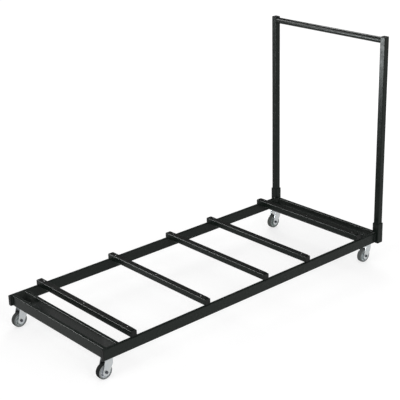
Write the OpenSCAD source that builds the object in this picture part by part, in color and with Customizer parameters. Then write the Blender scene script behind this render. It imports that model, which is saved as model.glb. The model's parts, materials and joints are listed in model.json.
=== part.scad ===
// Banquet table trolley: a low tube deck with raised padded bars, a push handle that lifts
// out of two corner sockets, and four swivel castors. X runs from the front to the handle,
// Y to the left, Z up from the floor. All sizes are in millimetres.

/* [Deck] */
// Length from the front caps of the side rails to the back of the handle sockets
deck_l = 1856; // [1500:1:2200]
// Width over the two side rails
deck_w = 760; // [600:1:900]
// Height of the frame tube
rail_h = 53; // [40:1:70]
// Width of the frame tube
rail_w = 19; // [16:0.5:19.5]
// Wall of the frame tube
rail_wall = 2; // [1.5:0.1:3]
// Outside corner radius of the frame tube
rail_r = 3; // [1.5:0.1:4]
// How far the capped rail ends stand proud of the front cross tube
rail_nose = 11; // [7:0.5:20]
// Clear well between paired cross tubes, where the castors are bolted
well_gap = 50; // [48:1:70]
// Thickness of the plate welded into the well for each castor
plate_t = 5; // [4:0.5:8]
// How far each castor plate reaches in from the end of its well
plate_reach = 50; // [45:1:90]

/* [Bars] */
// Width of each raised bar
bar_w = 32; // [25:1:45]
// Height of each raised bar
bar_h = 30; // [20:1:45]
// Wall of the bar tube
bar_wall = 2; // [1.5:0.1:3]
// Outside corner radius of the bar tube
bar_r = 3; // [1.5:0.1:4]
// Distance from each bar's end to the outer face of its side rail
bar_inset = 6; // [0:0.5:15]
// Width of the rubber strip on each bar
strip_w = 25; // [15:1:25]
// Thickness of the rubber strip
strip_t = 3; // [2.5:0.1:6]
// Bare length of bar beyond each end of the strip
strip_inset = 10; // [2:0.5:30]
// Distance from each bar's end to the nearest strip screw
screw_inset = 46; // [35:1:120]

/* [Handle] */
// Width of the square handle posts
post_w = 32; // [25:0.5:32]
// Wall of the handle tubes
post_wall = 2; // [1.5:0.1:3]
// Outside corner radius of the posts
post_r = 3; // [1.5:0.1:4]
// Width of the square sockets
socket_w = 40; // [40:0.5:50]
// Outside corner radius of the sockets
socket_r = 4; // [2:0.1:5]
// How far the sockets rise above the side rails
socket_rise = 56; // [30:1:120]
// Thickness of the socket's floor, which the post stands on
socket_floor = 3; // [2:0.5:8]
// Top of the capped posts above the side rails
handle_rise = 1065; // [700:1:1300]
// Diameter of the round push bar
grip_d = 32; // [22:0.5:32]
// Wall of the round push bar
grip_wall = 2; // [1.5:0.1:3]
// Middle of the push bar below the top of the post tubes
grip_drop = 16.5; // [16.5:0.5:60]
// Clearance of a post in its socket, on each side
post_play = 0.5; // [0.3:0.1:1]

/* [Castors] */
// Height of a castor, from the floor to the underside of the deck
castor_h = 108; // [100:1:140]
// Distance from the side rail's outer face to the swivel axis
castor_inset = 40; // [38:0.5:60]
// How far the axle trails behind the swivel axis
trail = 30; // [22:0.5:34]
// Diameter of the tyre
wheel_d = 75; // [60:1:80]
// Width of the tyre
wheel_w = 28; // [18:0.5:30]
// Diameter of the wheel centre that the tyre is moulded on
rim_d = 57; // [45:0.5:58]
// Thickness of the fork's pressed steel
fork_t = 2.5; // [2:0.1:4]
// Clearance between the tyre's side and the fork leg
fork_gap = 3; // [2:0.1:5]
// Diameter of the balls in the swivel race
ball_d = 5; // [4:0.1:6]
// Diameter of the castor's fixing bolt
king_d = 10; // [8:0.5:10]
// Diameter of the axle bolt
axle_d = 8; // [6:0.5:10]

/* [Hidden] */
$fn = 48;

// Clearances and the one overrun that serves all cuts
over = 1;
run_fit = 0.05;
ball_fit = 0.1;
loose_fit = 0.15;
plug_fit = 0.25;

// Plastic caps
cap_t = 4;
cap_edge_r = 1.5;
bar_cap_t = 3;
plug_l = 16;
plug_wall = 2;

// Strip screws: a dome head sunk in the rubber, on a shank into the bar
screw_head_d = 8;
screw_head_h = 1.6;
screw_sink = 0.3;
screw_d = 4;
screw_l = 9;

// Castor head, race and king pin
head_d = 46;
head_t = 2.5;
head_rim_t = 1.5;
head_rim_gap = 0.5;
race_d = 31;
race_sink = 1;
balls_per_race = 14;
king_wall = 2;
king_flange_d = 25;
king_flange_t = 3;

// Castor fork outline about the swivel axis
crown_reach = 20;
leg_back = 29;
leg_front = 10;
leg_neck = 12;
leg_shoulder = 28;
crown_lip = 5;
fork_bend = 2.5;
boss_r = 18;
boss_pad_r = 9;
boss_pad_t = 0.8;

// Wheel centre and axle sleeve
sleeve_wall = 2;
hub_wall = 5;
hub_foot = 3;
hub_play = 1;
web_t = 7;
rim_t = 3.5;
rim_step = 1.5;
tyre_shoulder_r = 5;

// Hexagon fasteners: sizes across flats, heads and nuts as shares of the thread
hex_flats_share = 1.6;
hex_head_share = 0.64;
hex_nut_share = 0.8;
lock_collar_share = 0.2;
washer_d_share = 2;
washer_t_share = 0.2;
thread_out_share = 0.2;
hex_sides = 6;

// The bars' middles along the deck, from its front end
bar_place_shares = [0.095, 0.3315, 0.5395, 0.699, 0.909];

// Places along the trolley
castor_from_nose = rail_nose + rail_w + well_gap / 2;
front_overhang = max(0, trail + wheel_d / 2 - castor_from_nose);
overall_l = deck_l + front_overhang;
nose_x = front_overhang - overall_l / 2;
rear_x = overall_l / 2;
front_tube_x = nose_x + rail_nose + rail_w / 2;
front_inner_x = front_tube_x + rail_w + well_gap;
rear_tube_x = rear_x - socket_w / 2;
rear_inner_x = rear_tube_x - rail_w - well_gap;
bar_xs = [for (share = bar_place_shares) nose_x + share * deck_l];

// Places across the trolley
rail_y = (deck_w - rail_w) / 2;
inner_w = deck_w - 2 * rail_w;
socket_y = deck_w / 2;
bar_l = deck_w - 2 * bar_inset;
strip_l = bar_l - 2 * strip_inset;
screw_pitch = bar_l / 2 - screw_inset;

// Heights
rail_mid_z = castor_h + rail_h / 2;
rail_top = castor_h + rail_h;
bar_top = rail_top + bar_h;
screw_seat = strip_t - screw_sink - screw_head_h;
socket_top = rail_top + socket_rise;
socket_wall = (socket_w - post_w) / 2 - post_play;
post_foot = castor_h + socket_floor;
post_top = rail_top + handle_rise - cap_t;
grip_z = post_top - grip_drop;

// Castors: heights of the race, crown and king pin
axle_z = wheel_d / 2;
ball_z = castor_h - head_t + race_sink - ball_d / 2;
crown_z = ball_z - ball_d / 2 + race_sink;
king_r = king_d / 2 + loose_fit + king_wall;
flange_top = crown_z - fork_t - loose_fit;
flange_foot = flange_top - king_flange_t;
fork_in = wheel_w / 2 + fork_gap;
fork_half = fork_in + fork_t;
sleeve_r = axle_d / 2 + loose_fit + sleeve_wall;
hub_half = fork_in - hub_play;
rim_half = wheel_w / 2 - rim_step;

// Corners: name, end of the trolley and side
corners = [
    ["front_left", -1, 1],
    ["front_right", -1, -1],
    ["rear_left", 1, 1],
    ["rear_right", 1, -1]
];
function castor_x(end) = (end < 0 ? front_tube_x + front_inner_x : rear_tube_x + rear_inner_x) / 2;
function castor_y(side) = side * (deck_w / 2 - castor_inset);
// A well ends at the side rail, or at the socket where that stands further in
function well_end(end) = (end < 0 ? inner_w : min(inner_w, deck_w - socket_w)) / 2;

// Colours as photographed
paint = [0.13, 0.14, 0.13];
moulding = [0.09, 0.09, 0.09];
rubber = [0.11, 0.11, 0.11];
zinc = [0.72, 0.74, 0.77];
steel = [0.6, 0.61, 0.63];
centre_grey = [0.74, 0.76, 0.79];
tyre_grey = [0.36, 0.37, 0.38];

NODES = concat(
    ["left_rail", "right_rail", "front_cross_tube", "front_inner_tube", "rear_cross_tube"],
    ["rear_inner_tube", "front_castor_plates", "rear_castor_plates", "left_socket"],
    ["right_socket", "rail_caps", "bar_caps", "strip_screws", "castor_bolts", "swivel_balls"],
    ["left_post", "right_post", "push_bar", "post_caps"],
    [for (i = [1 : len(bar_xs)]) str("bar_", i)],
    [for (i = [1 : len(bar_xs)]) str("strip_", i)],
    [for (c = corners) str("castor_head_", c[0])],
    [for (c = corners) str("king_pin_", c[0])],
    [for (c = corners) str("fork_", c[0])],
    [for (c = corners) str("axle_sleeve_", c[0])],
    [for (c = corners) str("axle_bolt_", c[0])],
    [for (c = corners) str("wheel_centre_", c[0])],
    [for (c = corners) str("tyre_", c[0])]
);
node = "all";
function shown(name) = node == "all" || node == name;

// Rounded rectangle about its middle
module rounded(w, h, r) {
    square([w - 2 * r, h], center = true);
    square([w, h - 2 * r], center = true);
    for (sx = [-1, 1], sy = [-1, 1])
        translate([sx * (w / 2 - r), sy * (h / 2 - r)])
            circle(r);
}

// The inside corner of a tube is never sharper than a quarter of its wall
function inside_r(r, wall) = max(r - wall, wall / 4);

module tube_section(w, h, r, wall) {
    difference() {
        rounded(w, h, r);
        rounded(w - 2 * wall, h - 2 * wall, inside_r(r, wall));
    }
}

// Lays a section out along X from 0, with its first axis on Y and its second on Z
module along_x(l) {
    rotate([90, 0, 90])
        linear_extrude(l)
            children();
}

// Lays a section out along Y about 0, with its first axis on X and its second on Z
module along_y(l) {
    rotate([90, 0, 0])
        linear_extrude(l, center = true)
            children();
}

// Side rails run from the front caps to the sockets' front faces
module rail(side) {
    color(paint)
        translate([nose_x + cap_t, side * rail_y, rail_mid_z])
            along_x(deck_l - cap_t - socket_w)
                tube_section(rail_w, rail_h, rail_r, rail_wall);
}

module cross_tube(x, l) {
    color(paint)
        translate([x, 0, rail_mid_z])
            along_y(l)
                tube_section(rail_w, rail_h, rail_r, rail_wall);
}

// One plate closes the foot of the well at each corner, drilled for the castor's bolt
module castor_plates(end) {
    color(paint)
        for (side = [-1, 1])
            difference() {
                translate([castor_x(end) - well_gap / 2, 0, castor_h])
                    mirror([0, side < 0 ? 1 : 0, 0])
                        translate([0, well_end(end) - plate_reach, 0])
                            cube([well_gap, plate_reach, plate_t]);
                translate([castor_x(end), castor_y(side), castor_h - over])
                    cylinder(h = plate_t + 2 * over, d = king_d + 2 * loose_fit);
            }
}

// Socket: square tube on a welded floor, as deep as the rail
module socket(side) {
    color(paint)
        translate([rear_tube_x, side * socket_y, castor_h]) {
            linear_extrude(socket_top - castor_h)
                tube_section(socket_w, socket_w, socket_r, socket_wall);
            linear_extrude(socket_floor)
                rounded(socket_w, socket_w, socket_r);
        }
}

// Plastic tube cap along +Z: a head with a softened edge, and a hollow plug inside the tube
module tube_cap(w, h, r, wall, t) {
    plug_w = w - 2 * wall - 2 * plug_fit;
    plug_h = h - 2 * wall - 2 * plug_fit;
    linear_extrude(t - cap_edge_r)
        rounded(w, h, r);
    translate([0, 0, t - cap_edge_r])
        linear_extrude(cap_edge_r)
            rounded(w - cap_edge_r, h - cap_edge_r, r);
    translate([0, 0, -plug_l])
        linear_extrude(plug_l)
            tube_section(plug_w, plug_h, inside_r(r, wall), plug_wall);
}

module rail_caps() {
    color(moulding)
        for (side = [-1, 1])
            translate([nose_x + cap_t, side * rail_y, rail_mid_z])
                rotate([0, -90, 0])
                    tube_cap(rail_h, rail_w, rail_r, rail_wall, cap_t);
}

module bar(x) {
    color(paint)
        difference() {
            translate([x, 0, rail_top + bar_h / 2])
                along_y(bar_l - 2 * bar_cap_t)
                    tube_section(bar_w, bar_h, bar_r, bar_wall);
            screw_places(x)
                translate([0, 0, -bar_wall - over])
                    cylinder(h = bar_wall + 2 * over, d = screw_d + 2 * loose_fit);
        }
}

module bar_caps() {
    color(moulding)
        for (x = bar_xs, side = [-1, 1])
            translate([x, side * (bar_l / 2 - bar_cap_t), rail_top + bar_h / 2])
                rotate([-side * 90, 0, 0])
                    tube_cap(bar_w, bar_h, bar_r, bar_wall, bar_cap_t);
}

// The three screws of a strip, on the bar's top
module screw_places(x) {
    for (i = [-1 : 1])
        translate([x, i * screw_pitch, bar_top])
            children();
}

// Rubber strip with its top edges eased and a counterbore for each screw's head
module strip(x) {
    ease = strip_t / 2;
    color(rubber)
        difference() {
            translate([x, 0, bar_top])
                along_y(strip_l) {
                    translate([-strip_w / 2, 0])
                        square([strip_w, strip_t - ease]);
                    translate([ease - strip_w / 2, 0])
                        square([strip_w - 2 * ease, strip_t]);
                    for (s = [-1, 1])
                        translate([s * (strip_w / 2 - ease), strip_t - ease])
                            circle(ease);
                }
            screw_places(x) {
                translate([0, 0, -over])
                    cylinder(h = strip_t + 2 * over, d = screw_d + 2 * loose_fit);
                translate([0, 0, screw_seat])
                    cylinder(h = strip_t, d = screw_head_d + 2 * plug_fit);
            }
        }
}

// Dome-headed screw: the head is the cap of the sphere through its rim and its crown
module strip_screws() {
    dome_r = (pow(screw_head_d / 2, 2) + pow(screw_head_h, 2)) / (2 * screw_head_h);
    color(zinc)
        for (x = bar_xs)
            screw_places(x)
                translate([0, 0, screw_seat]) {
                    intersection() {
                        translate([0, 0, screw_head_h - dome_r])
                            sphere(dome_r);
                        cylinder(h = screw_head_h + over, d = screw_head_d);
                    }
                    translate([0, 0, -screw_l])
                        cylinder(h = screw_l + screw_head_h / 2, d = screw_d);
                }
}

module post(side) {
    color(paint)
        translate([rear_tube_x, side * socket_y, post_foot])
            linear_extrude(post_top - post_foot)
                tube_section(post_w, post_w, post_r, post_wall);
}

module push_bar() {
    color(paint)
        translate([rear_tube_x, 0, grip_z])
            along_y(deck_w - post_w)
                difference() {
                    circle(d = grip_d);
                    circle(d = grip_d - 2 * grip_wall);
                }
}

module post_caps() {
    color(moulding)
        for (side = [-1, 1])
            translate([rear_tube_x, side * socket_y, post_top])
                tube_cap(post_w, post_w, post_r, post_wall, cap_t);
}

module at_castor(corner) {
    translate([castor_x(corner[1]), castor_y(corner[2]), 0])
        children();
}

module at_axle(corner) {
    at_castor(corner)
        translate([-trail, 0, axle_z])
            rotate([90, 0, 0])
                children();
}

// Ring groove that the balls run in
module race() {
    translate([0, 0, ball_z])
        rotate_extrude()
            translate([race_d / 2, 0])
                circle(d = ball_d + 2 * ball_fit);
}

// Fixed upper race: a pressed cup whose rim shrouds the balls
module castor_head(corner) {
    rim_foot = crown_z + head_rim_gap;
    color(zinc)
        at_castor(corner)
            difference() {
                rotate_extrude()
                    polygon([
                        [king_r + run_fit, castor_h],
                        [head_d / 2, castor_h],
                        [head_d / 2, rim_foot],
                        [head_d / 2 - head_rim_t, rim_foot],
                        [head_d / 2 - head_rim_t, castor_h - head_t],
                        [king_r + run_fit, castor_h - head_t]
                    ]);
                race();
            }
}

module swivel_balls() {
    color(steel)
        for (corner = corners)
            at_castor(corner)
                for (i = [1 : balls_per_race])
                    rotate([0, 0, i * 360 / balls_per_race])
                        translate([race_d / 2, 0, ball_z])
                            sphere(d = ball_d);
}

// Hollow king pin: a tube through head and crown, with a flange that holds the fork up
module king_pin(corner) {
    bore_r = king_d / 2 + loose_fit;
    color(zinc)
        at_castor(corner)
            rotate_extrude()
                polygon([
                    [bore_r, flange_foot],
                    [king_flange_d / 2, flange_foot],
                    [king_flange_d / 2, flange_top],
                    [king_r, flange_top],
                    [king_r, castor_h],
                    [bore_r, castor_h]
                ]);
}

module hex(h, flats) {
    cylinder(h = h, d = flats / cos(180 / hex_sides), $fn = hex_sides);
}

// Bolt up through king pin and plate, with its washer and nut down in the well
module castor_bolts() {
    plate_top = castor_h + plate_t;
    washer_t = washer_t_share * king_d;
    nut_foot = plate_top + washer_t + run_fit;
    nut_h = hex_nut_share * king_d;
    head_h = hex_head_share * king_d;
    tip = nut_foot + nut_h + thread_out_share * king_d;
    flats = hex_flats_share * king_d;
    color(steel)
        for (corner = corners)
            at_castor(corner) {
                translate([0, 0, flange_foot - head_h])
                    hex(head_h, flats);
                translate([0, 0, flange_foot - over])
                    cylinder(h = tip - flange_foot + over, d = king_d);
                translate([0, 0, plate_top])
                    difference() {
                        cylinder(h = washer_t, d = washer_d_share * king_d);
                        translate([0, 0, -over])
                            cylinder(h = washer_t + 2 * over, d = king_d + 2 * run_fit);
                    }
                translate([0, 0, nut_foot])
                    difference() {
                        hex(nut_h, flats);
                        translate([0, 0, -over])
                            cylinder(h = nut_h + 2 * over, d = king_d + 2 * run_fit);
                    }
            }
}

// Point where a line from p just touches the circle about c, on the side given by the sign s
function tangent(p, c, r, s) =
    let (d = p - c, turn = atan2(d[1], d[0]) + s * acos(r / norm(d)))
    c + r * [cos(turn), sin(turn)];

// Arch with rounded top corners, standing on a base line
module arch(half, top, r, base) {
    translate([-half, base])
        square([2 * half, top - r - base]);
    translate([r - half, base])
        square([2 * (half - r), top - base]);
    for (s = [-1, 1])
        translate([s * (half - r), top - r])
            circle(r);
}

// Pressed fork: an arch in the end view, a broad raked leg in the side view, a round crown in plan
module fork(corner) {
    axle = [-trail, axle_z];
    back = [-leg_back, crown_z];
    neck = [leg_front, crown_z - leg_neck];
    shoulder = [leg_front, crown_z - leg_shoulder];
    foot = axle_z - boss_r - over;
    reach = trail + boss_r + over;
    across = 2 * (fork_half + boss_pad_t + over);
    color(zinc)
        at_castor(corner)
            difference() {
                union() {
                    intersection() {
                        translate([-reach, 0, 0])
                            along_x(reach + crown_reach + over)
                                difference() {
                                    arch(fork_half, crown_z, fork_bend + fork_t, foot);
                                    arch(fork_in, crown_z - fork_t, fork_bend, foot - over);
                                }
                        along_y(across) {
                            polygon([
                                back,
                                [-leg_back, crown_z + over],
                                [crown_reach + over, crown_z + over],
                                [crown_reach + over, crown_z - crown_lip],
                                neck,
                                shoulder,
                                tangent(shoulder, axle, boss_r, -1),
                                axle,
                                tangent(back, axle, boss_r, 1)
                            ]);
                            translate(axle)
                                circle(boss_r);
                        }
                        linear_extrude(crown_z + over) {
                            circle(crown_reach);
                            translate([-reach, -fork_half - over])
                                square([reach, 2 * fork_half + 2 * over]);
                        }
                    }
                    for (s = [-1, 1])
                        translate([-trail, s * (fork_half + boss_pad_t / 2), axle_z])
                            rotate([90, 0, 0])
                                cylinder(h = boss_pad_t, r = boss_pad_r, center = true);
                }
                translate([0, 0, crown_z - fork_t - over])
                    cylinder(h = fork_t + 2 * over, r = king_r + run_fit);
                race();
                translate([-trail, 0, axle_z])
                    rotate([90, 0, 0])
                        cylinder(h = across, d = axle_d + 2 * run_fit, center = true);
            }
}

// Spacer tube between the legs, which the wheel turns on
module axle_sleeve(corner) {
    color(steel)
        at_axle(corner)
            difference() {
                cylinder(h = 2 * fork_in, r = sleeve_r, center = true);
                cylinder(h = 2 * fork_in + 2 * over, d = axle_d + 2 * run_fit, center = true);
            }
}

// Axle bolt with its head on the right leg and its lock nut on the left one
module axle_bolt(corner) {
    seat = fork_half + boss_pad_t;
    head_h = hex_head_share * axle_d;
    nut_h = hex_nut_share * axle_d;
    collar_h = lock_collar_share * axle_d;
    tail = nut_h + collar_h + thread_out_share * axle_d;
    flats = hex_flats_share * axle_d;
    color(steel)
        at_axle(corner) {
            translate([0, 0, seat])
                hex(head_h, flats);
            translate([0, 0, -seat - tail])
                cylinder(h = 2 * seat + tail + head_h / 2, d = axle_d);
            translate([0, 0, -seat])
                mirror([0, 0, 1])
                    difference() {
                        union() {
                            hex(nut_h, flats);
                            cylinder(h = nut_h + collar_h, d = flats);
                        }
                        translate([0, 0, -over])
                            cylinder(h = tail + 2 * over, d = axle_d + 2 * run_fit);
                    }
        }
}

// Moulded wheel centre: hub, dished web and rim turned in one profile
module wheel_centre(corner) {
    hub_r = sleeve_r + hub_wall;
    rim_in = rim_d / 2 - rim_t;
    half = [
        [sleeve_r + run_fit, hub_half],
        [hub_r, hub_half],
        [hub_r + hub_foot, web_t / 2],
        [rim_in - hub_foot, web_t / 2],
        [rim_in, rim_half],
        [rim_d / 2, rim_half]
    ];
    mirrored = [for (i = [len(half) - 1 : -1 : 0]) [half[i][0], -half[i][1]]];
    color(centre_grey)
        at_axle(corner)
            rotate_extrude()
                polygon(concat(half, mirrored));
}

// Tyre with a flat tread and round shoulders, bored to sit on the wheel centre's rim
module tyre(corner) {
    r = wheel_d / 2;
    bore = rim_d / 2 + run_fit;
    color(tyre_grey)
        at_axle(corner)
            rotate_extrude()
                intersection() {
                    translate([r / 2, 0])
                        rounded(r, wheel_w, tyre_shoulder_r);
                    translate([bore, -wheel_w / 2])
                        square([r - bore, wheel_w]);
                }
}

if (shown("left_rail")) rail(1);
if (shown("right_rail")) rail(-1);
if (shown("front_cross_tube")) cross_tube(front_tube_x, inner_w);
if (shown("front_inner_tube")) cross_tube(front_inner_x, inner_w);
if (shown("rear_cross_tube")) cross_tube(rear_tube_x, deck_w - socket_w);
if (shown("rear_inner_tube")) cross_tube(rear_inner_x, inner_w);
if (shown("front_castor_plates")) castor_plates(-1);
if (shown("rear_castor_plates")) castor_plates(1);
if (shown("left_socket")) socket(1);
if (shown("right_socket")) socket(-1);
if (shown("rail_caps")) rail_caps();
if (shown("bar_caps")) bar_caps();
if (shown("strip_screws")) strip_screws();
if (shown("castor_bolts")) castor_bolts();
if (shown("swivel_balls")) swivel_balls();
if (shown("left_post")) post(1);
if (shown("right_post")) post(-1);
if (shown("push_bar")) push_bar();
if (shown("post_caps")) post_caps();
for (i = [0 : len(bar_xs) - 1]) {
    if (shown(str("bar_", i + 1))) bar(bar_xs[i]);
    if (shown(str("strip_", i + 1))) strip(bar_xs[i]);
}
for (corner = corners) {
    if (shown(str("castor_head_", corner[0]))) castor_head(corner);
    if (shown(str("king_pin_", corner[0]))) king_pin(corner);
    if (shown(str("fork_", corner[0]))) fork(corner);
    if (shown(str("axle_sleeve_", corner[0]))) axle_sleeve(corner);
    if (shown(str("axle_bolt_", corner[0]))) axle_bolt(corner);
    if (shown(str("wheel_centre_", corner[0]))) wheel_centre(corner);
    if (shown(str("tyre_", corner[0]))) tyre(corner);
}
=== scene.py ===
import json
import math
import bmesh
import bpy
import numpy as np
from mathutils import Matrix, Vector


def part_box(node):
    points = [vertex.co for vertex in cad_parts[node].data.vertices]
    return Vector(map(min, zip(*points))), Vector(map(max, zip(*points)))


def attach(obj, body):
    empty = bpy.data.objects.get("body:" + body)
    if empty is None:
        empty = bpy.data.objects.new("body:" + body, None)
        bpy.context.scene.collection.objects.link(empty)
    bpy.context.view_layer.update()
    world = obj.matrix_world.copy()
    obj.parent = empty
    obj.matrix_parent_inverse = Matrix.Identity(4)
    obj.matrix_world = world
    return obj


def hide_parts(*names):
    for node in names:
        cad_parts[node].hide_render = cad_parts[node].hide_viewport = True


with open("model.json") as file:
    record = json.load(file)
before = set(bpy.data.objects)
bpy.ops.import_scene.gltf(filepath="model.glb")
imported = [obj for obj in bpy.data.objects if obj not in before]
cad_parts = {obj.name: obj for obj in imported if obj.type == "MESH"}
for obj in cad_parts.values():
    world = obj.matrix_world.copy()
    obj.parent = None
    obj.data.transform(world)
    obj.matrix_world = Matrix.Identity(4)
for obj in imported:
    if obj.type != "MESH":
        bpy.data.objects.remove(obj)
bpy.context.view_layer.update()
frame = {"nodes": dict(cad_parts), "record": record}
nodes = frame["nodes"]
corners = ("front_left", "front_right", "rear_left", "rear_right")
barNumbers = range(1, 6)
print("frame loaded:", len(nodes), "nodes")


# Measuring and mesh building

def span(node):
    # a node's lowest and highest corner, as arrays
    low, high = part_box(node)
    return np.array(low), np.array(high)


def fullTurn(count):
    # evenly spread angles once round, as a row
    return np.linspace(0, 2 * math.pi, count, endpoint=False)[None, :]


def lathe(radius, turn, height):
    # points round the Z axis: a row for each height, a column for each angle
    return np.stack([radius * np.cos(turn), radius * np.sin(turn), height * np.ones_like(turn)], axis=-1)


def gridFaces(rows, cols, wrapRows):
    # quads of a grid whose columns close on themselves; the rows close too if asked
    index = np.arange(rows * cols).reshape(rows, cols)
    below = index if wrapRows else index[:-1]
    above = np.roll(index, -1, axis=0) if wrapRows else index[1:]
    quads = np.stack([below, np.roll(below, -1, 1), np.roll(above, -1, 1), above], axis=-1)
    return quads.reshape(-1, 4)


def outward(points, faces):
    # turns the faces round where the shell's signed volume is negative
    a, b, c, d = (points[faces[:, i]] for i in range(4))
    volume = np.einsum("ij,ij->", a, np.cross(b, c)) + np.einsum("ij,ij->", a, np.cross(c, d))
    return faces if volume > 0 else faces[:, ::-1]


joining = {"mergeDistance": 2e-7, "sliverLength": 1e-8}


def makePiece(name, grids, look, body, sharp, wrapRows=False):
    # joins closed grids of points into one mesh, at the origin, riding on a body
    points, faces, count = [], [], 0
    for grid in grids:
        rows, cols = grid.shape[:2]
        flat = grid.reshape(-1, 3)
        points.append(flat)
        faces.append(outward(flat, gridFaces(rows, cols, wrapRows)) + count)
        count += rows * cols
    mesh = bpy.data.meshes.new(name)
    mesh.from_pydata(np.concatenate(points).tolist(), [], np.concatenate(faces).tolist())
    work = bmesh.new()
    work.from_mesh(mesh)
    bmesh.ops.remove_doubles(work, verts=work.verts, dist=joining["mergeDistance"])
    bmesh.ops.dissolve_degenerate(work, edges=work.edges, dist=joining["sliverLength"])
    work.to_mesh(mesh)
    work.free()
    mesh.polygons.foreach_set("use_smooth", np.ones(len(mesh.polygons), bool))
    mesh.set_sharp_from_angle(angle=math.radians(sharp))
    piece = bpy.data.objects.new(name, mesh)
    bpy.context.scene.collection.objects.link(piece)
    mesh.materials.append(look)
    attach(piece, body)
    return piece


# Material building

def newLook(name, sockets):
    # a material whose shader has these constant sockets
    look = bpy.data.materials.new(name)
    look.use_nodes = True
    shader = look.node_tree.nodes["Principled BSDF"]
    for socket, value in sockets.items():
        shader.inputs[socket].default_value = value
    return look, look.node_tree, shader


def put(tree, kind, inputs=None, **settings):
    # adds a node, sets it up and fills its inputs with links or values
    node = tree.nodes.new(kind)
    for setting, value in settings.items():
        setattr(node, setting, value)
    for socket, value in (inputs or {}).items():
        if isinstance(value, bpy.types.NodeSocket):
            tree.links.new(value, node.inputs[socket])
        else:
            node.inputs[socket].default_value = value
    return node


def wire(tree, output, shader, socket):
    tree.links.new(output, shader.inputs[socket])


def maths(tree, operation, *values, clamp=False):
    # one Math node on links or values
    node = put(tree, "ShaderNodeMath", dict(enumerate(values)), operation=operation, use_clamp=clamp)
    return node.outputs[0]


def product(tree, first, *others):
    for other in others:
        first = maths(tree, "MULTIPLY", first, other)
    return first


def objectPlace(tree, stretch=(1, 1, 1), centre=(0, 0, 0)):
    # Object coordinates, moved so that centre is 0 and then stretched
    place = put(tree, "ShaderNodeTexCoord").outputs["Object"]
    moved = put(tree, "ShaderNodeVectorMath", {0: place, 1: centre}, operation="SUBTRACT").outputs[0]
    return put(tree, "ShaderNodeVectorMath", {0: moved, 1: stretch}, operation="MULTIPLY").outputs[0]


def lengthOf(tree, vector):
    return put(tree, "ShaderNodeVectorMath", {0: vector}, operation="LENGTH").outputs["Value"]


def noise(tree, place, scale, detail, roughness=0.55):
    inputs = {"Vector": place, "Scale": scale, "Detail": detail, "Roughness": roughness}
    return put(tree, "ShaderNodeTexNoise", inputs).outputs["Fac"]


def ramp(tree, value, places, tones):
    # two tones at two places along 0 to 1
    node = put(tree, "ShaderNodeValToRGB", {"Fac": value})
    for mark, place, tone in zip(node.color_ramp.elements, places, tones):
        mark.position = place
        mark.color = (*tone, 1)
    return node.outputs["Color"]


def remap(tree, value, source, target):
    # stretches one range over another and holds at its ends
    inputs = {"Value": value, "From Min": source[0], "From Max": source[1],
              "To Min": target[0], "To Max": target[1]}
    return put(tree, "ShaderNodeMapRange", inputs).outputs["Result"]


def bump(tree, shader, height, depth, strength):
    # depth is the height in metres of a full step
    node = put(tree, "ShaderNodeBump", {"Height": height, "Distance": depth, "Strength": strength})
    wire(tree, node.outputs["Normal"], shader, "Normal")


def dress(tree, shader, kind, tones, stain, wear, relief):
    # the colour follows the stain, the roughness the wear, and the relief stands out
    wire(tree, ramp(tree, stain, kind["tonePlaces"], tones), shader, "Base Color")
    wire(tree, remap(tree, wear, kind["roughSource"], kind["rough"]), shader, "Roughness")
    bump(tree, shader, relief, kind["depth"], kind["strength"])


# Finishes

paint = {"dark": (0.0058, 0.0088, 0.0071), "pale": (0.0096, 0.0132, 0.0112), "ior": 1.2,
         "cloud": {"scale": 6.0, "detail": 5, "roughness": 0.6},
         "smudge": {"scale": 38.0, "detail": 4, "roughness": 0.65},
         "peel": {"scale": 380.0, "detail": 2}, "grain": {"scale": 2100.0, "detail": 1},
         "smudgeShare": 0.45, "grainShare": 0.18, "toneSource": (0.5, 0.95), "roughSource": (0.4, 0.8),
         "rough": (0.17, 0.33), "depth": 0.00005, "strength": 0.55}
# a paler tone painted into the shaded wells and onto the rails' side faces, standing in for light they lack
paintedLight = {"tone": (0.036, 0.040, 0.037), "fade": 0.035, "reach": 0.075, "edge": 0.0005,
        "outerShare": 0.26, "innerShare": 0.20, "frontLow": 0.0, "rearLow": 0.45,
        "patch": {"scale": 90.0, "detail": 4, "roughness": 0.65}, "patchSource": (0.3, 0.6),
        "patchShare": (0.45, 1.0)}


def paintedLightShare(tree, place):
    # painted light: a paler tone, full in the wells between the paired tubes, over the castor plates,
    # fading along the well, and a thin film on the rails' side faces, standing in for the light these
    # shaded faces lack
    axes = put(tree, "ShaderNodeSeparateXYZ", {0: place}).outputs
    aside = maths(tree, "ABSOLUTE", axes["Y"])
    tubeEnd, top = span("front_cross_tube")[1][1:]
    plateEnd = tubeEnd - paintedLight["reach"]
    between = maths(tree, "LESS_THAN", aside, tubeEnd + paintedLight["edge"])
    railLow, railHigh = span("left_rail")
    share = 0.0
    for face, film in ((railHigh[1], paintedLight["outerShare"]), (railLow[1], paintedLight["innerShare"])):
        onFace = maths(tree, "COMPARE", aside, face, paintedLight["edge"])
        share = maths(tree, "ADD", share, product(tree, onFace, film))
    wells = (("front_cross_tube", "front_inner_tube", paintedLight["frontLow"]),
             ("rear_inner_tube", "rear_cross_tube", paintedLight["rearLow"]))
    for before, behind, low in wells:
        start, end = span(before)[1][0], span(behind)[0][0]
        inside = maths(tree, "COMPARE", axes["X"], (start + end) / 2, (end - start) / 2 + paintedLight["edge"])
        along = remap(tree, aside, (plateEnd - paintedLight["fade"], plateEnd), (low, 1.0))
        share = maths(tree, "ADD", share, product(tree, inside, along, between), clamp=True)
    patchy = remap(tree, noise(tree, place, **paintedLight["patch"]), paintedLight["patchSource"], paintedLight["patchShare"])
    below = maths(tree, "LESS_THAN", axes["Z"], top)
    return product(tree, share, below, patchy)


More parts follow.
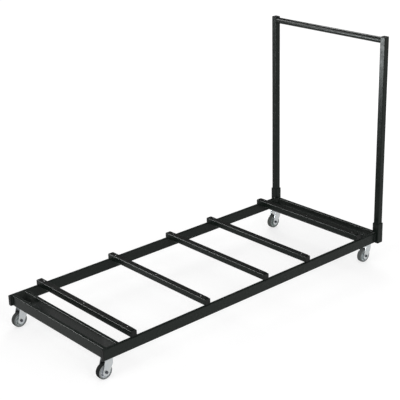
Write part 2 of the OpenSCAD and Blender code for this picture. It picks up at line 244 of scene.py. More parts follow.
def powderCoat():
    # satin black: broad tone clouds, handling smudges, orange peel of about 2 mm and a fine grain, with
    # painted light in the wells and on the rails' side faces
    look, tree, shader = newLook("powderCoat", {"IOR": paint["ior"]})
    place = objectPlace(tree)
    patterns = ("cloud", "smudge", "peel", "grain")
    cloud, smudge, peel, grain = (noise(tree, place, **paint[pattern]) for pattern in patterns)
    worn = maths(tree, "ADD", cloud, product(tree, smudge, paint["smudgeShare"]))
    stain = remap(tree, worn, paint["toneSource"], (0, 1))
    tone = ramp(tree, stain, (0, 1), (paint["dark"], paint["pale"]))
    # the Mix node's colours are its inputs 6 and 7 and its output 2
    # mixes the painted light into the paint's tone
    paintedLightMix = put(tree, "ShaderNodeMix", {0: paintedLightShare(tree, place), 6: tone, 7: (*paintedLight["tone"], 1)},
                data_type="RGBA")
    wire(tree, paintedLightMix.outputs[2], shader, "Base Color")
    fine = product(tree, grain, paint["grainShare"])
    wear = maths(tree, "ADD", smudge, fine)
    wire(tree, remap(tree, wear, paint["roughSource"], paint["rough"]), shader, "Roughness")
    bump(tree, shader, maths(tree, "ADD", peel, fine), paint["depth"], paint["strength"])
    return look


cap = {"tones": ((0.0105, 0.0115, 0.0108), (0.018, 0.019, 0.018)), "tonePlaces": (0.4, 0.75), "ior": 1.2,
       "rubbed": {"scale": 45, "detail": 4, "roughness": 0.65}, "grain": {"scale": 1500.0, "detail": 2},
       "roughSource": (0.3, 0.8), "rough": (0.52, 0.40), "depth": 0.00012, "strength": 0.5}


def mouldedPlastic():
    # black plastic: spark-eroded grain and paler rubbed patches
    look, tree, shader = newLook("mouldedPlastic", {"IOR": cap["ior"]})
    place = objectPlace(tree)
    rubbed = noise(tree, place, **cap["rubbed"])
    dress(tree, shader, cap, cap["tones"], rubbed, rubbed, noise(tree, place, **cap["grain"]))
    return look


rubberStrip = {"tones": ((0.0130, 0.0138, 0.0130), (0.023, 0.024, 0.0225)), "tonePlaces": (0.48, 0.8),
               "ior": 1.08, "settled": {"scale": 22, "detail": 5, "roughness": 0.7},
               "lineStretch": (900, 14, 900), "lines": {"scale": 1, "detail": 2},
               "roughSource": (0.3, 0.8), "rough": (0.40, 0.54), "depth": 0.00025, "strength": 0.6}


def extrudedRubber():
    # matt black rubber: fine lines along its length, with dust in patches
    look, tree, shader = newLook("extrudedRubber", {"IOR": rubberStrip["ior"]})
    settled = noise(tree, objectPlace(tree), **rubberStrip["settled"])
    lines = noise(tree, objectPlace(tree, rubberStrip["lineStretch"]), **rubberStrip["lines"])
    dress(tree, shader, rubberStrip, rubberStrip["tones"], settled, settled, lines)
    return look


zinc = {"tones": ((0.50, 0.53, 0.55), (0.57, 0.585, 0.58)), "tonePlaces": (0.35, 0.65),
        "cloud": {"scale": 70, "detail": 4, "roughness": 0.6}, "grainStretch": (1600, 1600, 120),
        "grain": {"scale": 1, "detail": 2}, "grainShare": 0.5, "roughSource": (0.45, 1.05),
        "rough": (0.26, 0.42), "depth": 0.00004, "strength": 0.5}


def brightZinc():
    # zinc-plated sheet: cloudy passivation and a fine rolled grain
    look, tree, shader = newLook("brightZinc", {"Metallic": 1.0})
    cloud = noise(tree, objectPlace(tree), **zinc["cloud"])
    grain = noise(tree, objectPlace(tree, zinc["grainStretch"]), **zinc["grain"])
    wear = maths(tree, "ADD", cloud, product(tree, grain, zinc["grainShare"]))
    dress(tree, shader, zinc, zinc["tones"], cloud, wear, grain)
    return look


steel = {"stain": {"scale": 240, "detail": 4, "roughness": 0.6}, "marks": {"scale": 2600, "detail": 2},
         "tonePlaces": (0.35, 0.7), "roughSource": (0.3, 0.75), "depth": 0.00004, "strength": 0.5}
steelKinds = {
    "zincScrew": {"tones": ((0.30, 0.31, 0.32), (0.42, 0.42, 0.41)), "rough": (0.52, 0.38)},
    "zincNut": {"tones": ((0.50, 0.52, 0.54), (0.66, 0.66, 0.65)), "rough": (0.44, 0.26)},
    "ballSteel": {"tones": ((0.58, 0.58, 0.60), (0.66, 0.66, 0.67)), "rough": (0.16, 0.08)},
    # dark tones that paint in the shade on the axle bolts' plated heads
    "shadedAxleSteel": {"tones": ((0.060, 0.062, 0.072), (0.110, 0.113, 0.125)), "rough": (0.5, 0.34)},
}


def platedSteel(name):
    # turned or headed steel: fine tool marks and faint stains
    look, tree, shader = newLook(name, {"Metallic": 1.0})
    kind = {**steel, **steelKinds[name]}
    place = objectPlace(tree)
    stain = noise(tree, place, **kind["stain"])
    dress(tree, shader, kind, kind["tones"], stain, stain, noise(tree, place, **kind["marks"]))
    return look


def wheelRadius(tree, corner):
    # distance from a wheel's axle
    low, high = span("tyre_" + corner)
    return lengthOf(tree, objectPlace(tree, (1, 0, 1), (low + high) / 2))


wheel = {"clean": (0.66, 0.69, 0.73), "darker": (0.44, 0.455, 0.47), "tonePlaces": (0.4, 0.95),
         # each corner's tint is painted shade: how lit or shaded that castor is
         "shadeTints": {"front_left": (0.93, 0.97, 0.92), "front_right": (1.0, 1.0, 1.0),
                   "rear_left": (0.68, 0.76, 0.70), "rear_right": (0.90, 0.95, 0.93)},
         "specular": 0.45, "hubToRim": (0.014, 0.0285), "rimShade": (0.0, 0.35), "flowShare": 0.8,
         "flow": {"scale": 160, "detail": 4, "roughness": 0.6}, "pits": {"scale": 1300, "detail": 2},
         "roughSource": (0.3, 0.75), "rough": (0.36, 0.52), "depth": 0.00008, "strength": 0.4}


def wheelPlastic(corner):
    # pale grey plastic: painted shade darkening towards the rim, where the tyre stands over it, and faint
    # flow marks; each corner's tint paints in how shaded that wheel is
    look, tree, shader = newLook("wheelPlastic_" + corner, {"Specular IOR Level": wheel["specular"]})
    place = objectPlace(tree)
    flow = noise(tree, place, **wheel["flow"])
    # painted shade, growing from the hub towards the rim
    reach = remap(tree, wheelRadius(tree, corner), wheel["hubToRim"], wheel["rimShade"])
    flowAndShade = maths(tree, "ADD", product(tree, flow, wheel["flowShare"]), reach, clamp=True)
    tones = [np.multiply(wheel[tone], wheel["shadeTints"][corner]) for tone in ("clean", "darker")]
    dress(tree, shader, wheel, tones, flowAndShade, flow, noise(tree, place, **wheel["pits"]))
    return look


tyre = {"side": (0.23, 0.245, 0.245), "tonePlaces": (0.1, 0.8), "ior": 1.12,
        # each corner's tread tone is painted shade: it follows how lit or shaded that wheel is
        "treadShades": {"front_left": (0.060, 0.064, 0.062), "front_right": (0.016, 0.0175, 0.017),
                   "rear_left": (0.105, 0.113, 0.109), "rear_right": (0.125, 0.132, 0.132)},
        "treadEdge": (0.0342, 0.0362), "scuffSource": (0.3, 0.7), "scuffSpread": (-0.28, 0.28),
        "scuff": {"scale": 260, "detail": 5, "roughness": 0.65}, "pits": {"scale": 1700, "detail": 2},
        "roughSource": (0.3, 0.75), "rough": (0.62, 0.82), "depth": 0.00010, "strength": 0.5}


def tyreRubber(corner):
    # grey rubber whose tread has rolled dark, with each corner's tread tone painting in how shaded that
    # wheel is, and scuffs round the shoulder
    look, tree, shader = newLook("tyreRubber_" + corner, {"IOR": tyre["ior"]})
    place = objectPlace(tree)
    scuff = noise(tree, place, **tyre["scuff"])
    worn = remap(tree, wheelRadius(tree, corner), tyre["treadEdge"], (0.0, 1.0))
    ragged = remap(tree, scuff, tyre["scuffSource"], tyre["scuffSpread"])
    tread = maths(tree, "ADD", worn, ragged, clamp=True)
    relief = maths(tree, "ADD", scuff, noise(tree, place, **tyre["pits"]))
    dress(tree, shader, tyre, (tyre["side"], tyre["treadShades"][corner]), tread, scuff, relief)
    return look


looks = {
    "frame_paint": powderCoat(),
    "cap_plastic": mouldedPlastic(),
    "strip_rubber": extrudedRubber(),
    "castor_zinc": brightZinc(),
    "zinc_plate": platedSteel("zincScrew"),
    "bolt_steel": platedSteel("zincNut"),
    "bearing_steel": platedSteel("ballSteel"),
}
# painted shade: the axle bolts' steel is darkened to stand for their shadow
darkSteel = platedSteel("shadedAxleSteel")
wheelLooks = {corner: wheelPlastic(corner) for corner in corners}
tyreLooks = {corner: tyreRubber(corner) for corner in corners}
slotOf = {part["node"]: part["material_slot"] for part in frame["record"]["subparts"]}
for name, node in nodes.items():
    corner = next((c for c in corners if name.endswith(c)), None)
    bySlot = {**looks, "wheel_plastic": wheelLooks.get(corner), "tyre_rubber": tyreLooks.get(corner)}
    for place in node.material_slots:
        place.material = bySlot[slotOf[name]]
print("finishes on", len(nodes), "nodes")


# Welds

weld = {"leg": 0.0042, "ripplePitch": 0.0026, "rippleDepth": 0.10, "lag": 0.5, "step": 0.0007,
        "fewestRows": 8, "arcPoints": 7, "crown": 0.16, "sink": 0.0006, "cornerRoom": 0.003,
        "barRoom": 0.0005, "plateReach": 0.050, "sharp": 80}


def beadFront(leg, turn):
    # distance from the corner line to a bead's slanted front, plus its crown
    return leg / (np.cos(turn) + np.sin(turn)) * (1 + weld["crown"] * np.sin(2 * turn))


def beadAlong(start, end, faceOne, faceTwo):
    # a convex fillet: from the corner line, each ray between the two faces reaches the bead's
    # front, times a ripple that lags towards the edges, and the leg shrinks to nothing at both
    # ends; the last column lies inside the metal
    start, end, faceOne, faceTwo = (np.asarray(v, float) for v in (start, end, faceOne, faceTwo))
    leg, length = weld["leg"], np.linalg.norm(end - start)
    rows = max(int(length / weld["step"]), weld["fewestRows"])
    along = np.linspace(0, 1, rows)[:, None]
    turn = np.linspace(0, math.pi / 2, weld["arcPoints"])[None, :]
    ends = np.clip(np.minimum(along, 1 - along) * length / leg, 0, 1) ** 0.5
    lag = weld["lag"] * leg * np.sin(2 * turn)
    ripple = 1 + weld["rippleDepth"] * np.cos(2 * math.pi * (along * length + lag) / weld["ripplePitch"])
    reach = (beadFront(leg, turn) * ripple * ends)[..., None]
    rays = np.cos(turn)[..., None] * faceOne + np.sin(turn)[..., None] * faceTwo
    line = start + along[..., None] * (end - start)
    inside = line - weld["sink"] * (faceOne + faceTwo) * ends[..., None]
    return np.concatenate([line + reach * rays, inside], axis=1)


def tubeEndBeads(tube, topToo):
    # upright beads on both flanks of each end of a cross tube, and one across its top if asked
    low, high = span(tube)
    room = weld["cornerRoom"]
    beads = []
    for y, inward in ((low[1], 1), (high[1], -1)):
        for x, away in ((low[0], -1), (high[0], 1)):
            beads.append(beadAlong((x, y, low[2] + room), (x, y, high[2] - room),
                                   (away, 0, 0), (0, inward, 0)))
        if topToo:
            beads.append(beadAlong((low[0] + room, y, high[2]), (high[0] - room, y, high[2]),
                                   (0, 0, 1), (0, inward, 0)))
    return beads


def railEndBeads(rail, socket, side):
    # the rail's end on its socket: one upright bead outside, one across the top
    low, high = span(rail)
    front = span(socket)[0][0]
    outer = high[1] if side > 0 else low[1]
    room = weld["cornerRoom"]
    upright = beadAlong((front, outer, low[2] + room), (front, outer, high[2] - room),
                        (-1, 0, 0), (0, side, 0))
    across = beadAlong((front, low[1] + room, high[2]), (front, high[1] - room, high[2]),
                       (-1, 0, 0), (0, 0, 1))
    return [upright, across]


def barBeads(bar, rail, side):
    # a bar's two flanks on the rail's top, and its underside on the rail's inner face
    low, high = span(bar)
    railLow, railHigh = span(rail)
    room = weld["cornerRoom"]
    inner, outer = (railLow[1], high[1]) if side > 0 else (railHigh[1], low[1])
    nearEnd, farEnd = inner + side * room, outer - side * weld["barRoom"]
    beads = [beadAlong((x, nearEnd, low[2]), (x, farEnd, low[2]), (away, 0, 0), (0, 0, 1))
             for x, away in ((low[0], -1), (high[0], 1))]
    beads.append(beadAlong((low[0] + room, inner, low[2]), (high[0] - room, inner, low[2]),
                           (0, 0, -1), (0, -side, 0)))
    return beads


def plateBeads(plates, side):
    # a castor plate's two long edges in the foot of its well
    low, high = span(plates)
    outer = high[1] if side > 0 else low[1]
    reach = outer - side * weld["plateReach"]
    return [beadAlong((x, outer, high[2]), (x, reach, high[2]), (0, 0, 1), (away, 0, 0))
            for x, away in ((low[0], 1), (high[0], -1))]


deckBeads = []
for tube in ("front_cross_tube", "front_inner_tube", "rear_inner_tube", "rear_cross_tube"):
    deckBeads += tubeEndBeads(tube, tube == "rear_cross_tube")
for hand, side in (("left", 1), ("right", -1)):
    deckBeads += railEndBeads(hand + "_rail", hand + "_socket", side)
    for i in barNumbers:
        deckBeads += barBeads(f"bar_{i}", hand + "_rail", side)
    for end in ("front", "rear"):
        deckBeads += plateBeads(end + "_castor_plates", side)
makePiece("deckWelds", deckBeads, looks["frame_paint"], "deck", weld["sharp"])
print("deck welds:", len(deckBeads))

gripWeld = {"leg": 0.0028, "sideLeg": 0.0011, "around": 300, "across": 8, "rippleCount": 44,
            "rippleDepth": 0.10, "lag": 2.0}


def gripBead(side):
    # a ring round the push bar's end: the leg is widest above and below, where the post's face
    # is flat, and thin at the sides, where the post's corners round away
    low, high = span("push_bar")
    radius = (high[2] - low[2]) / 2
    middle = (low + high) / 2
    face = high[1] if side > 0 else low[1]
    turn = fullTurn(gripWeld["around"]).T
    arc = np.linspace(0, math.pi / 2, gripWeld["across"])[None, :]
    leg = gripWeld["sideLeg"] + (gripWeld["leg"] - gripWeld["sideLeg"]) * np.sin(turn) ** 2
    phase = gripWeld["rippleCount"] * turn + gripWeld["lag"] * np.sin(2 * arc)
    front = beadFront(leg, arc) * (1 + gripWeld["rippleDepth"] * np.cos(phase))
    out = np.concatenate([radius + front * np.sin(arc), np.full_like(turn, radius - weld["sink"])], axis=1)
    inward = np.concatenate([front * np.cos(arc), np.full_like(turn, -weld["sink"])], axis=1)
    x = middle[0] + out * np.cos(turn)
    z = middle[2] + out * np.sin(turn)
    return np.stack([x, face - side * inward, z], axis=-1)


makePiece("handleWelds", [gripBead(1), gripBead(-1)], looks["frame_paint"], "handle",
          weld["sharp"], True)
print("handle welds: 2")


# Strip screws

screw = {"headRadius": 0.004, "headHeight": 0.0016, "domePower": 0.8, "shankRadius": 0.002,
         "slotHalf": 0.00045, "slotReach": 0.0024, "slotDepth": 0.0012, "slotEdge": 0.00022,
         "slotTip": 0.0006, "sink": 0.0003, "length": 0.009, "tipFrom": 0.8, "rings": 26, "around": 72,
         "barSpin": 0.7, "nextSpin": 1.9, "sharp": 50}


def slotShare(along, across):
    # 1 in one bar of the recess, fading at its edges and its tips
    edge = np.clip((screw["slotHalf"] - np.abs(across)) / screw["slotEdge"] + 0.5, 0, 1)
    tip = np.clip((screw["slotReach"] - np.abs(along)) / screw["slotTip"], 0, 1)
    return edge * tip


def screwHead():
    # a dome by radius, less a cross recess of two bars, on a pointed shank
    ring = np.linspace(0, 1, screw["rings"])[:, None]
    turn = fullTurn(screw["around"])
    radius = screw["headRadius"] * ring
    x, y = radius * np.cos(turn), radius * np.sin(turn)
    dome = screw["headHeight"] * np.sqrt(np.clip(1 - ring ** 2, 0, 1)) ** screw["domePower"]
    recess = np.maximum(slotShare(x, y), slotShare(y, x)) * screw["slotDepth"]
    under = [(screw["headRadius"], 0), (screw["shankRadius"], 0),
             (screw["shankRadius"], -screw["length"] * screw["tipFrom"]), (0, -screw["length"])]
    underRadius, underHeight = np.array(under).T[..., None]
    return np.concatenate([lathe(radius, turn, dome - recess), lathe(underRadius, turn, underHeight)])


head = screwHead()
screwGrids = []
capLow, capHigh = span("strip_screws")
for i in barNumbers:
    barLow, barHigh = span(f"bar_{i}")
    middle = (barLow + barHigh) / 2
    seat = span(f"strip_{i}")[1][2] - screw["sink"] - screw["headHeight"]
    for j, y in enumerate((capLow[1] + screw["headRadius"], 0.0, capHigh[1] - screw["headRadius"])):
        spin = screw["barSpin"] * i + screw["nextSpin"] * j
        cos, sin = math.cos(spin), math.sin(spin)
        turned = head @ np.array([[cos, sin, 0], [-sin, cos, 0], [0, 0, 1]])
        screwGrids.append(turned + np.array([middle[0], y, seat]))
screws = makePiece("stripScrews", screwGrids, looks["zinc_plate"], "deck", screw["sharp"])
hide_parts("strip_screws")
print("strip screws:", len(screwGrids))


# Hexagon bolts and nuts

# lengths are shares of the bolt's diameter, but fit is in metres; the collar's and the lip's
# shares are of the nut's flats and of its wall
hexShape = {"flats": 1.6, "head": 0.64, "nut": 0.8, "collar": 0.2, "tip": 0.2, "washer": 2.0,
            "washerThick": 0.2, "washerEase": 0.15, "fit": 0.00005, "around": 96, "sharp": 32,
            "faceShare": 0.95, "chamferAngle": 30, "chamferRows": 6,
            "collarShare": 0.46, "lipShare": 0.12, "lipEase": 0.6, "lipWidth": 2, "throatDepth": 3,
            "throatShare": 0.62,
            "pitch": 0.15, "threadDepth": 0.075, "rowsPerPitch": 9, "coneLength": 1.2, "coneDepth": 1.3}


def turnedRows(rows, flats=0.0):
    # each row is a height, a round limit and whether the hexagon also limits it; the hexagon's
    # corners are at 0, 60, 120 degrees
    turn = fullTurn(hexShape["around"])
    height, limit, isHex = np.array(rows, float).T[..., None]
    sixth = math.pi / 3
    hexSide = flats / 2 / np.cos((turn % sixth) - sixth / 2)
    return lathe(np.where(isHex > 0, np.minimum(limit, hexSide), limit), turn, height)


def roundRows(pairs):
    return [(height, radius, False) for height, radius in pairs]


def chamferRows(flats, end, sign):
    # from the round end face to the full corners: a cone that cuts the hexagon
    face = hexShape["faceShare"] * flats / 2
    corner = flats / math.sqrt(3)
    slope = math.tan(math.radians(hexShape["chamferAngle"]))
    return [(end + sign * (corner - face) * share * slope, face + (corner - face) * share, True)
            for share in np.linspace(0, 1, hexShape["chamferRows"])]


def hexHead(dia, base, top):
    # a bolt's head, chamfered on its top
    flats = hexShape["flats"] * dia
    rows = [(base, 0, False), (base, flats / math.sqrt(3), True)]
    rows += chamferRows(flats, top, -1)[::-1] + [(top, 0, False)]
    return turnedRows(rows, flats)


def hexNut(dia, base, top, collarTop=None):
    # a nut as a ring, chamfered on both ends, or with a round collar above
    flats = hexShape["flats"] * dia
    bore = dia / 2 + hexShape["fit"]
    rows = [(base, bore, False)] + chamferRows(flats, base, 1) + chamferRows(flats, top, -1)[::-1]
    if collarTop is None:
        return turnedRows(rows + [(top, bore, False)], flats)
    collar = hexShape["collarShare"] * flats
    lip = hexShape["lipShare"] * (flats / 2 - bore)
    ease, width = hexShape["lipEase"] * lip, hexShape["lipWidth"] * lip
    throat = hexShape["throatShare"] * collar + (1 - hexShape["throatShare"]) * bore
    throatFoot = collarTop - hexShape["throatDepth"] * lip
    rows += roundRows([(top, collar), (collarTop - width, collar), (collarTop - ease, collar - ease),
                       (collarTop, collar - width), (collarTop, throat), (throatFoot, throat),
                       (throatFoot, bore)])
    return turnedRows(rows, flats)


def threadedShank(dia, base, threadFrom, tip):
    # plain up to threadFrom; then a helix: the radius falls and rises once a pitch along the
    # height, and the phase goes once round with the turn; the tip is coned
    pitch = hexShape["pitch"] * dia
    depth = hexShape["threadDepth"] * dia
    turn = fullTurn(hexShape["around"])
    thread = np.arange(threadFrom, tip, pitch / hexShape["rowsPerPitch"])
    height = np.concatenate([[base, base], thread, [tip, tip]])[:, None]
    phase = (height / pitch - turn / (2 * math.pi)) % 1
    groove = depth * (1 - np.abs(2 * phase - 1)) * (height >= threadFrom) * (height < tip)
    cone = np.clip((tip - height) / (hexShape["coneLength"] * pitch), 0, 1)
    radius = np.minimum(dia / 2 - groove, dia / 2 - depth * hexShape["coneDepth"] * (1 - cone))
    radius[0], radius[-1] = 0, 0
    return lathe(radius, turn, height)


def washerRing(dia, base, top):
    outer = hexShape["washer"] * dia / 2
    bore = dia / 2 + hexShape["fit"]
    ease = hexShape["washerEase"] * (top - base)
    return turnedRows(roundRows([(base, bore), (base, outer - ease), (base + ease, outer),
                                 (top - ease, outer), (top, outer - ease), (top, bore)]))


turnBack = np.array([1, -1, -1])  # half a turn about X
toAxle = np.array([[1, 0, 0], [0, 0, 1], [0, -1, 0]])  # turns Z to the right-hand side
kingBolt = {"dia": 0.010, "inHead": 0.001, "threadInNut": 0.0006}
boltGrids, nutGrids = [], []
for corner in corners:
    pinLow, pinHigh = span("king_pin_" + corner)
    plateTop = span(corner.split("_")[0] + "_castor_plates")[1][2]
    dia, foot = kingBolt["dia"], pinLow[2]
    washerTop = plateTop + hexShape["washerThick"] * dia
    nutFoot = washerTop + hexShape["fit"]
    nutTop = nutFoot + hexShape["nut"] * dia
    at = np.array([*((pinLow + pinHigh) / 2)[:2], 0])
    boltGrids.append(hexHead(dia, -foot, hexShape["head"] * dia - foot) * turnBack + at)
    boltGrids.append(threadedShank(dia, foot - kingBolt["inHead"], nutTop - kingBolt["threadInNut"],
                                   nutTop + hexShape["tip"] * dia) + at)
    nutGrids.append(washerRing(dia, plateTop, washerTop) + at)
    nutGrids.append(hexNut(dia, nutFoot, nutTop) + at)
bolts = makePiece("castorBolts", boltGrids, looks["bolt_steel"], "deck", hexShape["sharp"])
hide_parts("castor_bolts")
makePiece("castorNuts", nutGrids, looks["bolt_steel"], "deck", hexShape["sharp"], True)
print("castor bolts:", len(corners))

axle = {"dia": 0.008, "inHead": 0.001, "threadInNut": 0.004, "nylonInner": 0.0042, "nylonOuter": 0.0054,
        "nylonEase": 0.0003, "nylonFlare": 0.0002, "nylonDrop": 0.0002}


def nylonRing(base, top):
    inner, outer, ease = axle["nylonInner"], axle["nylonOuter"], axle["nylonEase"]
    return turnedRows(roundRows([(base, inner), (base, outer), (top - ease, outer), (top, outer - ease),
                                 (top, inner + axle["nylonFlare"])]))


for corner in corners:
    tyreLow, tyreHigh = span("tyre_" + corner)
    forkLow, forkHigh = span("fork_" + corner)
    centre = (tyreLow + tyreHigh) / 2
    rider, dia = "castor_" + corner, axle["dia"]
    nearSeat = centre[1] - forkLow[1]
    farSeat = forkHigh[1] - centre[1]
    nutTop = farSeat + hexShape["nut"] * dia
    collarTop = nutTop + hexShape["collar"] * dia
    shank = threadedShank(dia, -nearSeat - axle["inHead"], farSeat + axle["threadInNut"],
                          collarTop + hexShape["tip"] * dia)
    bolt = [hexHead(dia, nearSeat, nearSeat + hexShape["head"] * dia), shank * turnBack]
    boltPiece = makePiece("axleBolt_" + corner, [grid @ toAxle + centre for grid in bolt], darkSteel, rider,
                          hexShape["sharp"])
    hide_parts("axle_bolt_" + corner)
    nut = hexNut(dia, farSeat, nutTop, collarTop) * turnBack @ toAxle + centre
    makePiece("lockNut_" + corner, [nut], looks["bolt_steel"], rider, hexShape["sharp"], True)
    ring = nylonRing(nutTop, collarTop - axle["nylonDrop"]) * turnBack @ toAxle + centre
    makePiece("lockRing_" + corner, [ring], looks["cap_plastic"], rider, hexShape["sharp"],
              True)
print("axle bolts:", len(corners))


# Wheels

wheelShape = {"fit": 0.0002, "hubWall": 0.005, "hubFoot": 0.003, "webHalf": 0.0035, "rimWall": 0.0035,
              "rimStep": 0.0015, "edge": 0.0007, "ribCount": 6, "ribHalf": 0.0011, "ribEase": 0.0009,
              "ribDrop": 0.0028, "spokeRows": 26, "around": 240, "sharp": 40}


def spokedCentre(corner):
    # half the thickness by radius, hub to rim, with short chamfers; near each of the even spoke
    # lines it rises smoothly to a rib's top, which slopes from the hub's end to the rim's edge
    sleeveLow, sleeveHigh = span("axle_sleeve_" + corner)
    low, high = span("wheel_centre_" + corner)
    tyreLow, tyreHigh = span("tyre_" + corner)
    sleeve = (sleeveHigh[2] - sleeveLow[2]) / 2
    bore, hub = sleeve + wheelShape["fit"], sleeve + wheelShape["hubWall"]
    outer, hubHalf = (high[2] - low[2]) / 2, (high[1] - low[1]) / 2
    rimHalf = (tyreHigh[1] - tyreLow[1]) / 2 - wheelShape["rimStep"]
    rim, edge, web = outer - wheelShape["rimWall"], wheelShape["edge"], wheelShape["webHalf"]
    foot, drop = wheelShape["hubFoot"], wheelShape["ribDrop"]
    knots = [(bore, hubHalf - edge), (bore + edge, hubHalf), (hub - edge, hubHalf), (hub, hubHalf - edge),
             (hub + foot, web), (rim - foot, web), (rim, rimHalf - edge), (rim + edge, rimHalf),
             (outer - edge, rimHalf), (outer, rimHalf - edge)]
    knotRadius, knotHalf = np.array(knots).T
    between = np.linspace(hub, rim, wheelShape["spokeRows"])
    radius = np.unique(np.concatenate([knotRadius, between]))[:, None]
    turn = fullTurn(wheelShape["around"])
    plain = np.interp(radius, knotRadius, knotHalf)
    ribTop = np.interp(radius, [hub, rim], [hubHalf - drop, rimHalf - drop])
    pitch = 2 * math.pi / wheelShape["ribCount"]
    aside = radius * np.abs(np.sin((turn / pitch + 0.5) % 1 * pitch - pitch / 2))
    share = np.clip((wheelShape["ribHalf"] + wheelShape["ribEase"] - aside) / wheelShape["ribEase"], 0, 1)
    rise = np.clip(ribTop - plain, 0, None) * (radius > hub) * (radius < rim)
    half = plain + rise * share ** 2 * (3 - 2 * share)
    face = np.stack([radius * np.cos(turn), half, radius * np.sin(turn)], axis=-1)
    grid = np.concatenate([face, face[::-1] * np.array([1, -1, 1])])
    return grid + (low + high) / 2


tyreShape = {"fit": 0.0002, "shoulder": 0.005, "shoulderRows": 9, "sideRows": 22, "treadRows": 41,
             "grooveFrom": 0.0012, "grooveWidth": 0.0016, "grooveDepth": 0.0005, "crown": 0.0003,
             "seamHeight": 0.00016, "seamHalf": 0.0005, "around": 200, "sharp": 50}


def mouldedTyre(corner):
    # half the section, from the bore out: a flat side with a sine-shaped groove, a round
    # shoulder, and a tread that falls off with the square of the distance from the middle,
    # where the mould's seam stands
    low, high = span("tyre_" + corner)
    centreLow, centreHigh = span("wheel_centre_" + corner)
    bore = (centreHigh[2] - centreLow[2]) / 2 + tyreShape["fit"]
    outer, half = (high[2] - low[2]) / 2, (high[1] - low[1]) / 2
    shoulder = tyreShape["shoulder"]
    side = np.linspace(bore, outer - shoulder, tyreShape["sideRows"], endpoint=False)
    along = np.clip((side - bore - tyreShape["grooveFrom"]) / tyreShape["grooveWidth"], 0, 1)
    sideHalf = half - tyreShape["grooveDepth"] * np.sin(math.pi * along) ** 2
    bend = np.linspace(0, math.pi / 2, tyreShape["shoulderRows"], endpoint=False)
    tread = np.linspace(half - shoulder, 0, tyreShape["treadRows"])
    fall = tyreShape["crown"] * (tread / (half - shoulder)) ** 2
    seam = tyreShape["seamHeight"] * (1 - np.exp(-(tread / tyreShape["seamHalf"]) ** 2))
    drop = tyreShape["crown"] + tyreShape["seamHeight"]
    sideRadius = side - drop * (side - bore) / (outer - shoulder - bore)
    bendRadius = outer - drop - shoulder + shoulder * np.sin(bend)
    bendHalf = half - shoulder + shoulder * np.cos(bend)
    radius = np.concatenate([sideRadius, bendRadius, outer - fall - seam])[:, None]
    width = np.concatenate([sideHalf, bendHalf, tread])[:, None]
    turn = fullTurn(tyreShape["around"])
    face = np.stack([radius * np.cos(turn), width * np.ones_like(turn), radius * np.sin(turn)], axis=-1)
    grid = np.concatenate([face, face[-2::-1] * np.array([1, -1, 1])])
    return grid + (low + high) / 2


for corner in corners:
    rider = "wheel_" + corner
    centrePiece = makePiece("spokedCentre_" + corner, [spokedCentre(corner)], wheelLooks[corner], rider,
                            wheelShape["sharp"], True)
    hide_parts("wheel_centre_" + corner)
    tyrePiece = makePiece("mouldedTyre_" + corner, [mouldedTyre(corner)], tyreLooks[corner], rider,
                          tyreShape["sharp"], True)
    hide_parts("tyre_" + corner)
print("wheels:", len(corners))


# Floor, light and camera

white = (1, 1, 1, 1)
stageLook = {"glow": (0.66, 0.82), "glowRadius": (1.6, 5.0), "seenTone": (0.42, 0.42, 0.42, 1),
             "plainTone": (0.80, 0.80, 0.80, 1), "size": 60.0}


def directRays(tree, path):
    # 1 for rays from the camera or through glass
    return maths(tree, "ADD", path["Is Camera Ray"], path["Is Transmission Ray"], clamp=True)


def paleFloor():
    # white where it is seen, with a share of plain diffuse that keeps the shadow; the white
    # rises away from the object, where less light falls
    look = bpy.data.materials.new("paleFloor")
    look.use_nodes = True
    tree = look.node_tree
    tree.nodes.clear()
    path = put(tree, "ShaderNodeLightPath").outputs
    plain = put(tree, "ShaderNodeBsdfDiffuse", {"Color": stageLook["plainTone"]})
    level = remap(tree, lengthOf(tree, objectPlace(tree)), stageLook["glowRadius"], stageLook["glow"])
    glow = put(tree, "ShaderNodeEmission", {"Color": white, "Strength": level})
    faint = put(tree, "ShaderNodeBsdfDiffuse", {"Color": stageLook["seenTone"]})
    seen = put(tree, "ShaderNodeAddShader", {0: glow.outputs[0], 1: faint.outputs[0]})
    isSeen = maths(tree, "ADD", directRays(tree, path), path["Is Glossy Ray"], clamp=True)
    mix = put(tree, "ShaderNodeMixShader", {0: isSeen, 1: plain.outputs[0], 2: seen.outputs[0]})
    put(tree, "ShaderNodeOutputMaterial", {"Surface": mix.outputs[0]})
    return look


half = stageLook["size"]
floorCorners = [(-half, -half, 0), (half, -half, 0), (half, half, 0), (-half, half, 0)]
floorMesh = bpy.data.meshes.new("floor")
floorMesh.from_pydata(floorCorners, [], [(0, 1, 2, 3)])
floorMesh.materials.append(paleFloor())
floor = bpy.data.objects.new("floor", floorMesh)
bpy.context.scene.collection.objects.link(floor)

studio = {"overhead": 0.55, "horizon": (0.05, 0.30), "shine": (1.0, 0.13)}


def studioWorld():
    # white to the camera; reflections see the white up to the backdrop's top and a dim ceiling above
    world = bpy.data.worlds.new("studio")
    world.use_nodes = True
    tree = world.node_tree
    tree.nodes.clear()
    path = put(tree, "ShaderNodeLightPath").outputs
    direction = put(tree, "ShaderNodeTexCoord").outputs["Generated"]
    rise = put(tree, "ShaderNodeSeparateXYZ", {0: direction}).outputs["Z"]
    glossy = product(tree, path["Is Glossy Ray"], remap(tree, rise, studio["horizon"], studio["shine"]))
    soft = product(tree, path["Is Diffuse Ray"], studio["overhead"])
    level = maths(tree, "ADD", maths(tree, "ADD", directRays(tree, path), glossy), soft)
    shade = put(tree, "ShaderNodeBackground", {"Color": white, "Strength": level})
    put(tree, "ShaderNodeOutputWorld", {"Surface": shade.outputs[0]})
    return world


bpy.context.scene.world = studioWorld()


def stand(thing, place, right, up, back):
    # puts a lamp or the camera in its place, with its own axes along these directions
    basis = np.stack([right, up, back], axis=1)
    thing.matrix_world = Matrix.Translation(place) @ Matrix(basis.tolist()).to_4x4()
    bpy.context.scene.collection.objects.link(thing)


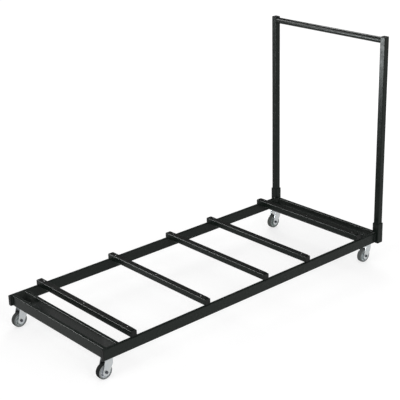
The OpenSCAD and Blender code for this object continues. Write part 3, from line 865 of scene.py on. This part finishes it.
# spread is in degrees, as of a softbox with a grid; sees says which surfaces a lamp lights
lamps = {
    "keyBox": {"place": (-3.4, -0.6, 2.6), "aim": (0.2, 0.0, 0.3), "size": (1.8, 1.8), "power": 29,
               "spread": 180, "sees": "all"},
    "fillBox": {"place": (-0.6, -4.2, 2.6), "aim": (0.0, 0.0, 0.4), "size": (2.4, 1.6), "power": 68,
                "spread": 180, "sees": "all"},
    "backBox": {"place": (3.2, 2.8, 2.4), "aim": (0.0, 0.0, 0.4), "size": (2.0, 1.6), "power": 60,
                "spread": 180, "sees": "matt"},
    "ridgeBox": {"place": (-0.75, 2.10, 2.25), "aim": (0.1, 0.0, 0.2), "size": (2.4, 1.0), "power": 41,
                 "spread": 80, "sees": "shine"},
    "farRidgeBox": {"place": (1.35, -1.95, 2.10), "aim": (0.3, 0.0, 0.2), "size": (2.4, 1.5), "power": 30,
                    "spread": 180, "sees": "shine"},
    "postBox": {"place": (-1.40, 1.55, 0.72), "aim": (0.9, -0.38, 0.95), "size": (0.65, 0.95),
                "power": 7.8, "spread": 60, "sees": "shine", "tint": (0.93, 0.99, 1.0)},
    "bandBox": {"place": (-1.35, 1.62, 1.36), "aim": (0.9, -0.5, 1.2), "size": (0.8, 0.16), "power": 1.1,
                "spread": 40, "sees": "shine"},
    "gripBox": {"place": (1.5, 0.75, 2.2), "aim": (0.92, -0.35, 1.2), "size": (0.7, 0.5), "power": 0.6,
                "spread": 30, "sees": "shine"},
}


def addLamp(name, lamp):
    light = bpy.data.lights.new(name, "AREA")
    light.shape = "RECTANGLE"
    light.size, light.size_y = lamp["size"]
    light.energy = lamp["power"]
    light.color = lamp.get("tint", white[:3])
    light.spread = math.radians(lamp["spread"])
    lampObject = bpy.data.objects.new(name, light)
    lampObject.visible_camera = False
    lampObject.visible_diffuse = lamp["sees"] != "shine"
    lampObject.visible_glossy = lamp["sees"] != "matt"
    place, aim = np.array(lamp["place"]), np.array(lamp["aim"])
    back = (place - aim) / np.linalg.norm(place - aim)
    right = np.cross((0, 0, 1), back)
    right /= np.linalg.norm(right)
    stand(lampObject, place, right, np.cross(back, right), back)


for name, lamp in lamps.items():
    addLamp(name, lamp)

photoCamera = {"place": (-3.270, -3.728, 2.435), "yaw": 41.16, "pitch": 21.32, "roll": -1.6, "lens": 96.3,
               "farClip": 200}


def addCamera():
    # yaw turns from +Y towards +X, pitch looks down, roll turns the picture
    yaw, pitch, roll = (math.radians(photoCamera[k]) for k in ("yaw", "pitch", "roll"))
    ahead = np.array([math.sin(yaw) * math.cos(pitch), math.cos(yaw) * math.cos(pitch), -math.sin(pitch)])
    level = np.array([math.cos(yaw), -math.sin(yaw), 0.0])
    upright = np.cross(level, ahead)
    right = level * math.cos(roll) + upright * math.sin(roll)
    up = upright * math.cos(roll) - level * math.sin(roll)
    data = bpy.data.cameras.new("photoCamera")
    data.lens = photoCamera["lens"]
    data.clip_end = photoCamera["farClip"]
    camera = bpy.data.objects.new("photoCamera", data)
    stand(camera, photoCamera["place"], right, up, -ahead)
    bpy.context.scene.camera = camera


addCamera()
bpy.context.scene.view_settings.view_transform = "Standard"
print("stage, lamps and camera ready")
